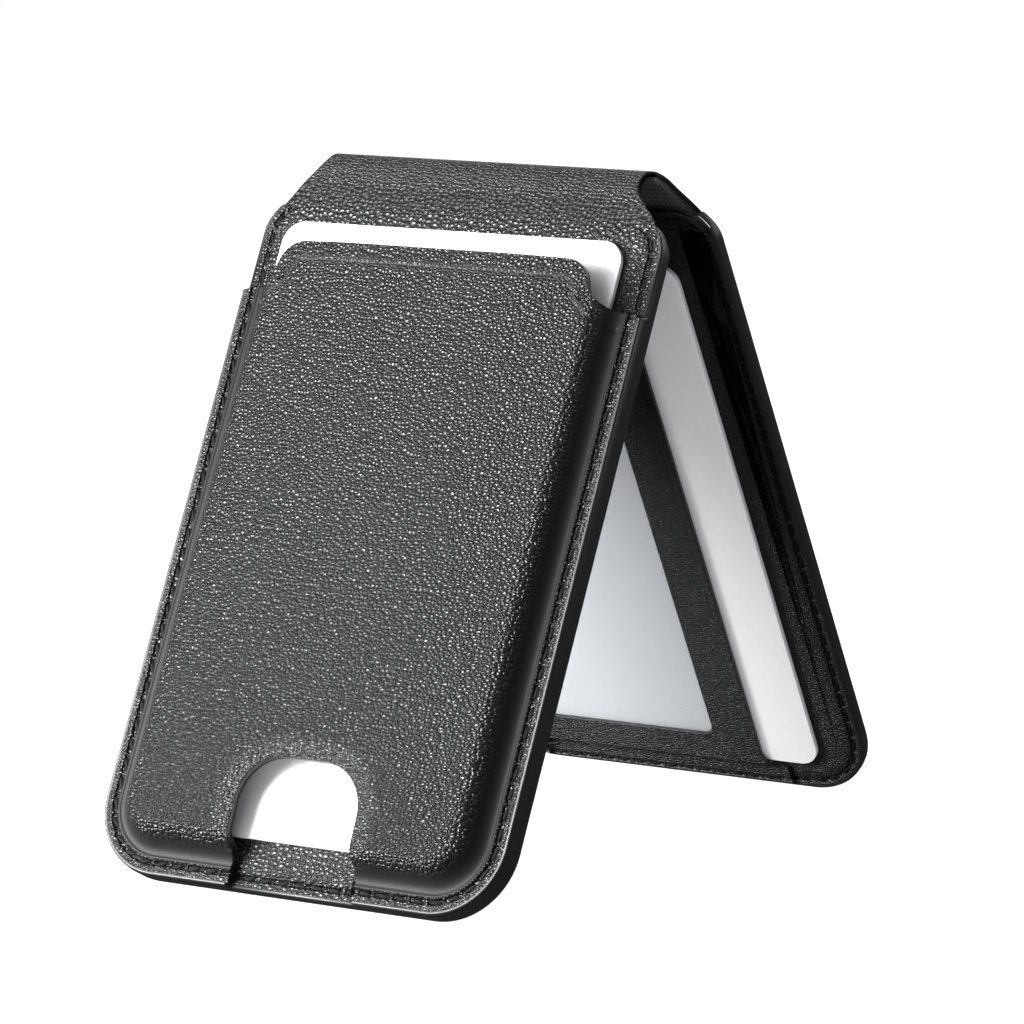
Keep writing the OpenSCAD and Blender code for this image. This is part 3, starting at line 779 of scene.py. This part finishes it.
def pocket_sheet():
    """The pocket's outer skin, flat in plan: swept walls, a woven middle, mouth and cut-out."""
    section = [tuple(p) for p in spline(POCKET_SECTION, 4)]
    bm = sweep_panel(section, POCKET_ROWS, POCKET_COLUMNS, front_shoulder)
    line = draw_line(bm, [(x, CORNER_R, FACE_TOP) for x in POCKET_COLUMNS])
    pull_along(bm, line, POCKET_ROWS, Vector((0, 1, 0)))
    weld(bm)
    low = THUMB_H - THUMB_R
    cut_arc(bm, (THUMB_LEFT + THUMB_R, low), THUMB_R, pi / 2, pi, 10, True)
    cut_arc(bm, (THUMB_RIGHT - THUMB_R, low), THUMB_R, 0, pi / 2, 10, True)

    def in_thumb(p):
        inside = THUMB_LEFT < p.x < THUMB_RIGHT and p.y < THUMB_H
        beside = p.x < THUMB_LEFT + THUMB_R or p.x > THUMB_RIGHT - THUMB_R
        return inside and not (beside and p.y > low)

    bmesh.ops.delete(bm, geom=zone(bm, in_thumb), context="FACES")
    weld(bm, 0.06)
    for v in bm.verts:
        if v.co.y > TOP_FROM:
            share = (v.co.y - TOP_FROM) / (FLANGE_H - TOP_FROM)
            v.co.y = TOP_FROM + share * (float(mouth_height(v.co.x)) - TOP_FROM)
    face_up(bm)
    return bm


def pocket_shape(x, y, z):
    """Crown of the face, pressed line along the mouth, and the dip round the thumb cut-out."""
    inset = edge_distance(x, y, front_shoulder)
    height = z + 0.6 * smooth_step(5.0, 20, inset)
    mouth = [(u, float(mouth_height(u))) for u in np.linspace(-HALF_W, HALF_W, 420)]
    below = distance_to_line(x, y, mouth)
    raised = inset > 3.2
    line = np.where(raised, np.exp(-((below - HEM_AT) / HEM_W) ** 2), 0)
    hem = np.where(raised, smooth_step(2.9, 0.6, below), 0)
    height = height - HEM_D * line + 0.04 * hem
    around = thumb_distance(x, y)
    dip = np.where(inset > 4.5, smooth_step(2.4, 0.0, around), 0)
    height = height - 0.25 * dip
    pressed = smooth_step(1.9, 2.3, inset) * smooth_step(5.2, 4.3, inset)
    pressed = np.maximum(pressed, 0.9 * line)
    coarse = np.clip(0.45 * smooth_step(3.5, 1.0, around) + 0.5 * smooth_step(2.2, 0.5, inset), 0, 1)
    return (x, y, height), panel_marks(x, y, FRONT_SEAM, front_shoulder, pressed=pressed, coarse=coarse)


pocket_plan = pocket_sheet()
cloth_plan = pocket_plan.copy()
pocket = piece("moulded_pocket", pocket_plan, FRONT_OUT, [PEBBLED, EDGE], pocket_shape)
finish(pocket, POCKET_T, round_edge=0.16, rim=1)
place_on(pocket, "front_panel", "pebbled_leather", "pocket_leather")

pocket_cloth = piece("pocket_cloth", cloth_plan, FRONT_OUT, [BACKING], pocket_shape)
finish(pocket_cloth, CLOTH_T, offset=-1 - 2 * POCKET_T / CLOTH_T)
place_on(pocket_cloth, "front_panel", "pocket_cloth", "pocket_lining")


# ---- Rear panel ----

sheet = flat_sheet("rear_cover", REAR_OUT, REAR_T, REAR_LEATHER_T, REAR_SEAM, rear_shoulder,
                   PEBBLED, False)
place_on(sheet, "rear_panel", "pebbled_leather", "rear_leather")

sheet = flat_sheet("rear_lining_sheet", REAR_IN, 0, REAR_LINING_T, REAR_SEAM,
                   rear_lining_shoulder, LINING, True)
place_on(sheet, "rear_panel", "lining_leather", "rear_lining")

sheet = painted_edge("rear_edge_paint", REAR_OUT, REAR_T, rear_shoulder)
place_on(sheet, "rear_panel", "pebbled_leather")


def frame_sheet():
    """The window frame's skin in plan: round left corners, the window, a scalloped right foot."""
    left, bottom = FRAME_INSET - HALF_W, FRAME_INSET
    x0, y0, x1, y1 = WINDOW
    flare_y = FRAME_FOOT + FLARE_R
    r = CORNER_R - FRAME_INSET
    columns = steps_between(
        [left, CHANNEL[0] + 0.4, left + r, x0, x0 + WINDOW_R, x1 - WINDOW_R, x1, FRAME_EDGE - 1.6,
         FRAME_EDGE, FLARE_X], [0.15, 1, 0.5, 0.6, 1.2, 0.6, 0.6, 0.2, 0.4])
    rows = steps_between(
        [bottom, 2.2, CHANNEL[1] + 0.6, flare_y, y0, y0 + WINDOW_R, left + r + HALF_W, y1 - WINDOW_R,
         y1, CHANNEL[2] - 0.6, CHANNEL[2] + 1.6, FRAME_TOP],
        [0.2, 0.15, 0.4, 0.4, 0.6, 0.6, 1.2, 0.6, 0.4, 0.15, 0.3])
    rows = sorted(set(round(y, 4) for y in rows + [bottom + r]))
    bm = lattice(columns, rows, FRAME_LIFT + FRAME_T)
    cut_arc(bm, (left + r, bottom + r), r, pi, 1.5 * pi, 14, False)
    in_x0, in_y0, in_x1, in_y1 = x0 + WINDOW_R, y0 + WINDOW_R, x1 - WINDOW_R, y1 - WINDOW_R
    for centre, start in (((in_x0, in_y0), pi), ((in_x1, in_y0), 1.5 * pi),
                          ((in_x1, in_y1), 0), ((in_x0, in_y1), pi / 2)):
        cut_arc(bm, centre, WINDOW_R, start, start + pi / 2, 6, True)

    def in_window(p):
        inside = x0 < p.x < x1 and y0 < p.y < y1
        corner = (p.x < in_x0 or p.x > in_x1) and (p.y < in_y0 or p.y > in_y1)
        return inside and not corner

    bmesh.ops.delete(bm, geom=zone(bm, in_window), context="FACES")
    cut_arc(bm, (FLARE_X, flare_y), FLARE_R, pi, 1.5 * pi, 7, True)
    bmesh.ops.delete(bm, geom=zone(bm, lambda p: p.x > FRAME_EDGE and p.y > flare_y), context="FACES")
    weld(bm, 0.05)
    face_up(bm)
    return bm


def frame_shape(x, y, z):
    """Leather drawn over the card: level over it, sloping down to the seam round it."""
    outside = np.maximum(np.maximum(CHANNEL[0] - x, CHANNEL[1] - y), y - CHANNEL[2])
    height = z - (FRAME_LIFT + FRAME_T - FRAME_RIM) * smooth_step(-0.15, 1.05, outside)
    x0, y0, x1, y1 = WINDOW
    to_window = np.maximum(np.maximum(x0 - x, x - x1), np.maximum(y0 - y, y - y1))
    to_edge = np.minimum(np.abs(to_window), np.where(y > CHANNEL[1] + 1, FRAME_EDGE - x, 9))
    height = height - 0.07 * np.exp(-((to_edge - 0.95) / 0.16) ** 2)
    sewn = np.exp(-((edge_distance(x, y, rear_shoulder) - REAR_SEAM) / 0.3) ** 2)
    return (x, y, height - 0.2 * sewn), panel_marks(x, y, REAR_SEAM, rear_shoulder)


window_frame = piece("window_surround", frame_sheet(), REAR_IN, [LINING, EDGE], frame_shape)
finish(window_frame, FRAME_T, round_edge=0.1, rim=1)
place_on(window_frame, "rear_panel", "lining_leather", "window_frame")


# ---- Cards ----

def card(name, at, place, body, node, plastic):
    bm = bmesh.new()
    middle = Matrix.Translation((at[0] + CARD_W / 2, at[1] + CARD_L / 2, at[2] + CARD_T / 2))
    bmesh.ops.create_cube(bm, size=1, matrix=middle @ Matrix.Diagonal((CARD_W, CARD_L, CARD_T, 1)))
    corners = [e for e in bm.edges if abs(e.verts[0].co.z - e.verts[1].co.z) > CARD_T / 2]
    bmesh.ops.bevel(bm, geom=corners, offset=CARD_R, offset_type="OFFSET", affect="EDGES",
                    segments=10, profile=0.5, material=-1)
    rims = [e for e in bm.edges if abs(e.verts[0].co.z - e.verts[1].co.z) < 1e-4
            and any(abs(f.normal.z) < 0.5 for f in e.link_faces)]
    bmesh.ops.bevel(bm, geom=rims, offset=CARD_EDGE_R, offset_type="OFFSET", affect="EDGES",
                    segments=2, profile=0.5, material=-1)
    obj = finish(piece(name, bm, place, [plastic]))
    place_on(obj, body, "card", node)


card("pocket_card_blank", POCKET_CARD, FRONT_OUT, "pocket_card", "pocket_card", WHITE_CARD)
# The ID card takes the greyer copy of the card plastic, its painted shade.
card("id_card_blank", ID_CARD, REAR_IN, "id_card", "id_card", SHADE_GREYED_CARD)


# ---- Thread ----

def stitch_places(seam, shoulder_y):
    """Stitches along a seam, [x, y, direction, way along it], on both sides."""
    bend = (CORNER_R - seam) * pi / 2
    side = shoulder_y - CORNER_R
    reach = LOW_X + bend + side + (SHOULDER_R - seam) * SEAM_BEND
    places = []
    for i in range(int(reach / PITCH)):
        s = (i + 0.5) * PITCH
        if s < LOW_X:
            x, y, a = s, seam, 0.0
        elif s < LOW_X + bend:
            a = (s - LOW_X) / (CORNER_R - seam)
            x, y = LOW_X + (CORNER_R - seam) * sin(a), CORNER_R - (CORNER_R - seam) * cos(a)
        elif s < LOW_X + bend + side:
            x, y, a = HALF_W - seam, CORNER_R + s - LOW_X - bend, pi / 2
        else:
            a = (s - LOW_X - bend - side) / (SHOULDER_R - seam)
            x, y = HIGH_X + (SHOULDER_R - seam) * cos(a), shoulder_y + (SHOULDER_R - seam) * sin(a)
            a += pi / 2
        places += [(side_x * x, y, side_x * a, side_x) for side_x in (-1, 1)]
    return places


def add_stitch(bm, x, y, angle, side, z):
    """One stitch: a plied oval rope that dives into the leather at both ends, lying aslant."""
    place = (Matrix.Translation((x, y, z)) @ Matrix.Rotation(angle - STITCH_SLANT * side, 4, "Z")
             @ Matrix.Rotation(pi / 2, 4, "Y"))
    ring = bmesh.ops.create_circle(bm, cap_ends=False, radius=1, segments=8)["verts"]
    line = list(dict.fromkeys(e for v in ring for e in v.link_edges))
    rings = [ring]
    for _ in range(STITCH_STEPS):
        line = pull(bm, line, (0, 0, 0))
        rings.append(verts_of(line))
    for i, verts in enumerate(rings):
        spot = -1 + 2 * i / STITCH_STEPS
        swell = sqrt(max(1 - abs(spot) ** 2.6, 0.03))
        twist = Matrix.Rotation(spot * pi / 2, 4, "Z")
        form = Matrix.Diagonal((THREAD_T / 2 * swell, THREAD_W / 2 * swell, 1, 1))
        flat = Matrix.Diagonal((0.85, 1.12, 1, 1))
        move = Matrix.Translation((0.16 * spot ** 4, 0, spot * STITCH_L / 2))
        bmesh.ops.transform(bm, matrix=place @ move @ form @ twist @ flat @ twist.inverted(), verts=verts)


def sew(name, place, stitches, body, *nodes):
    """Sews stitches, [x, y, angle, side, height], as one mesh."""
    bm = bmesh.new()
    for x, y, angle, side, z in stitches:
        add_stitch(bm, x, y, angle, side, z)
    bmesh.ops.holes_fill(bm, edges=[e for e in bm.edges if e.is_boundary], sides=8)
    bmesh.ops.recalc_face_normals(bm, faces=bm.faces)
    place_on(finish(piece(name, bm, place, [THREAD])), body, "thread", *nodes)


def pocket_side_stitches():
    """Stitches over the flange and the cover, left out where the one steps down to the other."""
    clear = STITCH_L / 2 + 0.1
    for x, y, a, side in stitch_places(FRONT_SEAM, front_shoulder):
        at_foot = y < CORNER_R
        in_thumb = at_foot and THUMB_LEFT < x < THUMB_RIGHT
        at_step = at_foot and min(abs(x - THUMB_LEFT), abs(x - THUMB_RIGHT)) < clear
        at_mouth = abs(y - FLANGE_H) < clear
        top = FRONT_T if in_thumb or y > FLANGE_H else FLANGE_TOP
        if not at_step and not at_mouth:
            yield x, y, a, side, top - POCKET_SINK


def plain_stitches(seam, shoulder_y, top):
    for x, y, a, side in stitch_places(seam, shoulder_y):
        yield x, y, a, side, top - PLAIN_SINK


def inner_rear_stitches():
    """Stitches over the frame's rim and the lining, left out where the frame starts, ends or slopes."""
    for x, y, a, side in stitch_places(REAR_SEAM, rear_lining_shoulder):
        at_flare = y < CORNER_R and abs(x - FLARE_X) < STITCH_L / 2 + 0.1
        at_slope = x < 0 and (abs(y - FRAME_FOOT) < 1.4 * STITCH_L / 2 or abs(y - FRAME_TOP) < STITCH_L + 1)
        on_frame = (x < 0 and y < FRAME_TOP) or (y < CHANNEL[1] and x < FLARE_X)
        if not at_flare and not at_slope:
            yield x, y, a, side, (FRAME_RIM if on_frame else 0) - INNER_SINK


sew("front_thread", FRONT_OUT, pocket_side_stitches(), "front_panel", "front_stitching")
sew("front_lining_thread", FRONT_IN, plain_stitches(FRONT_SEAM, front_lining_shoulder, 0), "front_panel")
sew("rear_thread", REAR_OUT, plain_stitches(REAR_SEAM, rear_shoulder, REAR_T), "rear_panel")
sew("rear_lining_thread", REAR_IN, inner_rear_stitches(), "rear_panel", "rear_stitching")


# ---- Spine ----

def on_front(h, out):
    """The [y, z] of a height up the front panel and a way out from its lining."""
    return np.array((h * sin(FRONT_LEAN) - out * cos(FRONT_LEAN) + front_foot / MM,
                     h * cos(FRONT_LEAN) + out * sin(FRONT_LEAN)))


def on_rear(h, out):
    return np.array((rear_foot / MM - h * sin(REAR_LEAN) + out * cos(REAR_LEAN),
                     h * cos(REAR_LEAN) + out * sin(REAR_LEAN)))


def spine_section():
    """The spine's outer line from the front panel over the fold to the rear panel, as [y, z]."""
    axis = np.array((HINGE.y, HINGE.z)) / MM
    crease = [axis + CREASE_R * np.array((cos(a), sin(a))) for a in np.radians([143, 118, 93, 68, 44])]
    return spline(
        [on_front(h, FRONT_T) for h in (SPINE_FROM, 87, 90.5, 92.8)]
        + [on_front(94.8, FRONT_T - 0.05), on_front(97.0, FRONT_T - 0.5), on_front(100.2, FRONT_T - 1.35)]
        + crease
        + [on_rear(101.3, REAR_T - 0.85), on_rear(98.6, REAR_T - 0.22), on_rear(95.8, REAR_T + 0.02)]
        + [on_rear(h, REAR_T) for h in (93.0, 90.5, 87, SPINE_FROM)], 8)


# Half the spine's width, [way from the crease, half width]. The front's two sides are drawn in by
# different amounts, as soft leather is.
FRONT_RIGHT_WAIST = spline(
    [(0, 25.2), (1.6, 24.5), (3, 24.5), (4.3, 25.1), (5.9, 26.6), (7.7, 28.4), (9.7, 29.78)], 6)
FRONT_LEFT_WAIST = spline([(0, 25.2), (1.6, 26), (3, 26.8), (5.4, 28), (8.5, 29.2), (9.7, 29.78)], 6)
REAR_WAIST = spline([(0, 25.2), (1.1, 26.2), (3.5, 27.4), (6, 28.6), (8.5, 29.78)], 6)


def spine_half_width(waist, way, past):
    """Half the spine's width at a way from the crease; past is the way down from the shoulder's end."""
    if past > 0:
        return HIGH_X + sqrt(SHOULDER_R ** 2 - max(SHOULDER_DROP - past, 0) ** 2)
    return float(np.interp(way, *np.array(waist).T))


def spine_sheet(depth):
    """The spine's skin at a depth under its outer face, with its way from the crease."""
    line = np.array(spine_section())
    along = np.concatenate(([0], np.cumsum(np.hypot(*np.diff(line, axis=0).T))))
    crease_at = along[np.argmax(line[:, 1])]
    shoulder_a = along[np.argmin(np.hypot(*(line - on_front(FRONT_H, FRONT_T)).T))]
    shoulder_b = along[np.argmin(np.hypot(*(line - on_rear(REAR_H, REAR_T)).T))]
    tangent = np.gradient(line, along, axis=0)
    normal = np.stack((-tangent[:, 1], tangent[:, 0]), 1) / np.hypot(*tangent.T)[:, None]
    columns = steps_between([-1, -0.99, -0.87, 0.87, 0.99, 1], [0.0025, 0.008, 0.06, 0.008, 0.0025])
    bm = lattice(columns, range(len(line)), 0)
    marks = {"coarse": [], "inset": [], "travel": [], "pressed": [], "up": []}
    for v in bm.verts:
        f, i = v.co.x, round(v.co.y)
        s = along[i]
        front_side = s < crease_at
        shoulder = crease_at - shoulder_a if front_side else shoulder_b - crease_at
        way = abs(s - crease_at)
        front_waist = FRONT_RIGHT_WAIST if f > 0 else FRONT_LEFT_WAIST
        x = f * spine_half_width(front_waist if front_side else REAR_WAIST, way, way - shoulder)
        h = (FRONT_H if front_side else REAR_H) - (way - shoulder)
        seam = FRONT_SEAM if front_side else REAR_SEAM
        shoulder_y = front_shoulder if front_side else rear_shoulder
        from_edge = float(edge_distance(x, h, shoulder_y)) - seam
        fade = float(smooth_step(shoulder - 0.2, shoulder + 0.9, way))
        groove = 0.26 * np.exp(-(from_edge / 0.28) ** 2) * fade if way > shoulder else 0.0
        groove += 0.16 * max(abs(f) - 0.99, 0) ** 2 / 0.01 ** 2
        spot = line[i] - normal[i] * (groove + depth)
        v.co = (x, spot[0], spot[1])
        marks["inset"].append(from_edge if fade > 0.6 else OFF_SEAM)
        marks["travel"].append(float(seam_travel(x, h, seam, shoulder_y)))
        at_fold = float(smooth_step(0.75, 0.2, way / shoulder))
        coarse = float(smooth_step(18, 9.5, way)) * (1 - 0.8 * at_fold)
        marks["coarse"].append(coarse if front_side else 0.0)
        marks["pressed"].append(0.5 * at_fold)
        marks["up"].append(s)
    return bm, {k: np.array(v) for k, v in marks.items()}


def spine_piece(name, depth, thick, materials, node):
    bm, marks = spine_sheet(depth)
    face_up(bm)
    to_metres = Matrix.Scale(MM, 4)
    obj = piece(name, bm, to_metres, materials, lambda x, y, z: ((x, y, z), marks))
    finish(obj, thick, rim=len(materials) - 1)
    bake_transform(obj)
    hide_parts(node)


spine_piece("spine", 0.0, LEATHER_T, [PEBBLED, EDGE], "spine_leather")
spine_piece("spine_cloth", LEATHER_T, CLOTH_T, [BACKING], "spine_backing")


# ---- Pieces kept from the design ----

for node, finish_material in {
    "front_board": BOARD, "magnet_carrier": BOARD, "closure_magnets": NICKEL, "magnet_ring": NICKEL,
    "alignment_magnet": NICKEL, "magnet_shunt": STEEL, "closure_plates": STEEL, "shield_foil": FOIL,
    "window_film": VINYL,
}.items():
    mesh = frame["nodes"][node].data
    mesh.materials.clear()
    mesh.materials.append(finish_material)


# ---- Stage, light and camera ----

def stage_floor():
    """A lit white sweep, just below the object so that the two don't share a plane."""
    bm = bmesh.new()
    bmesh.ops.create_grid(bm, x_segments=1, y_segments=1, size=6)
    obj = piece("floor", bm, Matrix.Translation((0, 0, -0.06 * MM)), [])
    material, _ = new_material("white_paper_sweep")
    obj.data.materials.append(surface(material, {
        "Base Color": colour("#a8a8a8"), "Roughness": 0.9, "Specular IOR Level": 0.1,
        "Emission Color": (1, 1, 1, 1), "Emission Strength": 0.97}))
    obj.visible_glossy = False


def way_out(azimuth, elevation):
    """The way out from the object at an azimuth, 0 in front and 90 on the right, and an elevation."""
    a, e = radians(azimuth), radians(elevation)
    return Vector((sin(a) * cos(e), -cos(a) * cos(e), sin(e)))


def soft_box(name, azimuth, elevation, distance, size, power, aim):
    """A soft box that looks at the aim."""
    way = way_out(azimuth, elevation)
    light = bpy.data.lights.new(name, "AREA")
    light.shape = "RECTANGLE"
    light.size, light.size_y = size
    light.energy = power
    obj = bpy.data.objects.new(name, light)
    obj.location = aim + way * distance
    obj.rotation_euler = (-way).to_track_quat("-Z", "Y").to_euler()
    bpy.context.scene.collection.objects.link(obj)


def set_camera():
    aim = Vector((3.9, -2.3, 45.3)) * MM
    distance = 0.74
    roll = Matrix.Rotation(radians(-0.17), 3, "Z")
    way = way_out(32.71, 8.99)
    data = bpy.data.cameras.new("camera")
    data.lens = 192.4
    data.sensor_width = 36
    data.clip_end = 20
    camera = bpy.data.objects.new("camera", data)
    camera.location = aim + way * distance
    camera.rotation_euler = ((-way).to_track_quat("-Z", "Y").to_matrix() @ roll).to_euler()
    bpy.context.scene.collection.objects.link(camera)
    bpy.context.scene.camera = camera


def set_world():
    world = bpy.data.worlds.new("studio")
    world.use_nodes = True
    backdrop = world.node_tree.nodes["Background"]
    backdrop.inputs["Color"].default_value = (1, 1, 1, 1)
    backdrop.inputs["Strength"].default_value = 0.06
    bpy.context.scene.world = world


stage_floor()
middle = Vector((0, 0, 50 * MM))
soft_box("key", -26, 34, 0.9, (1.0, 0.6), 3, middle)
soft_box("sparkle", -22, 28, 1.1, (0.2, 0.2), 4, middle)
soft_box("low_front", -38, 20, 0.3, (0.22, 0.16), 4.5, Vector((-18, -40, 6)) * MM)
soft_box("back_right", 140, 28, 1.0, (0.8, 0.6), 3, middle)
soft_box("back", 195, 40, 1.0, (0.8, 0.8), 6, middle)
soft_box("top", 0, 88, 1.0, (1.0, 1.0), 2, middle)
set_camera()
set_world()
bpy.context.scene.view_settings.view_transform = "Standard"
